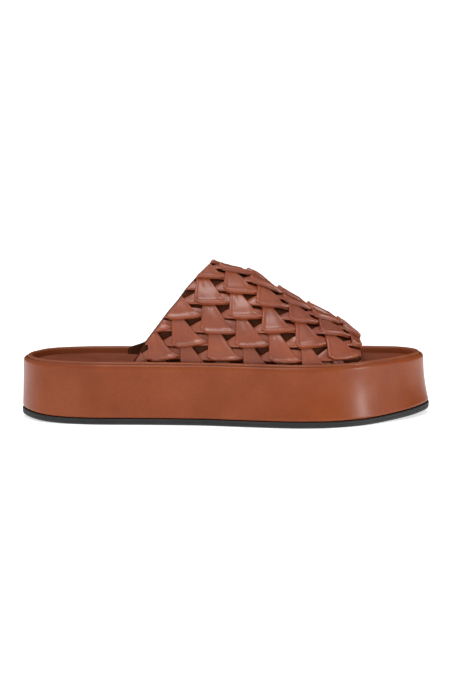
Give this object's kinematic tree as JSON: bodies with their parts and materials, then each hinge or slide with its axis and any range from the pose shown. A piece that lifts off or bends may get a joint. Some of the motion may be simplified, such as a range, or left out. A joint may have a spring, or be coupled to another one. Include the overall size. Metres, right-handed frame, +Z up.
{
  "type": "platform slide",
  "caption": "Backless open-toed slide for a right foot: woven leather vamp on a leather-covered platform with a rolled rim, a sunken footbed and a rubber outsole.",
  "frame": {"origin": "under the middle of the slide's box, on the plane that it stands on", "axes": "+X towards the toe, +Y towards the inner side of the foot, +Z up"},
  "size_m": [0.2762, 0.1062, 0.1062],
  "materials": {
    "wall_leather": "smooth semi-gloss tan leather",
    "strip_leather": "soft satin tan leather",
    "footbed_leather": "matt brown leather",
    "lining_leather": "matt dark brown leather",
    "outsole_rubber": "matt black rubber",
    "platform_foam": "light closed-cell foam",
    "cushion_foam": "soft open-cell foam",
    "fibre_board": "pressed fibre"
  },
  "bodies": {
    "root": {"cross_strip_01": "strip_leather", "cross_strip_02": "strip_leather", "cross_strip_02_b": "strip_leather", "cross_strip_03": "strip_leather", "cross_strip_03_b": "strip_leather", "cross_strip_04": "strip_leather", "cross_strip_05": "strip_leather", "cross_strip_06": "strip_leather", "cross_strip_07": "strip_leather", "cross_strip_08": "strip_leather", "cross_strip_09": "strip_leather", "footbed_cover": "footbed_leather", "footbed_foam": "cushion_foam", "insole_board": "fibre_board", "long_strip_01": "strip_leather", "long_strip_02": "strip_leather", "long_strip_03": "strip_leather", "long_strip_04": "strip_leather", "long_strip_05": "strip_leather", "long_strip_06": "strip_leather", "long_strip_07": "strip_leather", "long_strip_08": "strip_leather", "long_strip_09": "strip_leather", "long_strip_10": "strip_leather", "long_strip_11": "strip_leather", "long_strip_12": "strip_leather", "long_strip_13": "strip_leather", "long_strip_14": "strip_leather", "long_strip_15": "strip_leather", "long_strip_16": "strip_leather", "long_strip_17": "strip_leather", "long_strip_18": "strip_leather", "long_strip_19": "strip_leather", "long_strip_20": "strip_leather", "outsole": "outsole_rubber", "platform_core": "platform_foam", "platform_wrap": "wall_leather", "rim_binding": "wall_leather", "vamp_lining": "lining_leather"}
  },
  "joints": []
}
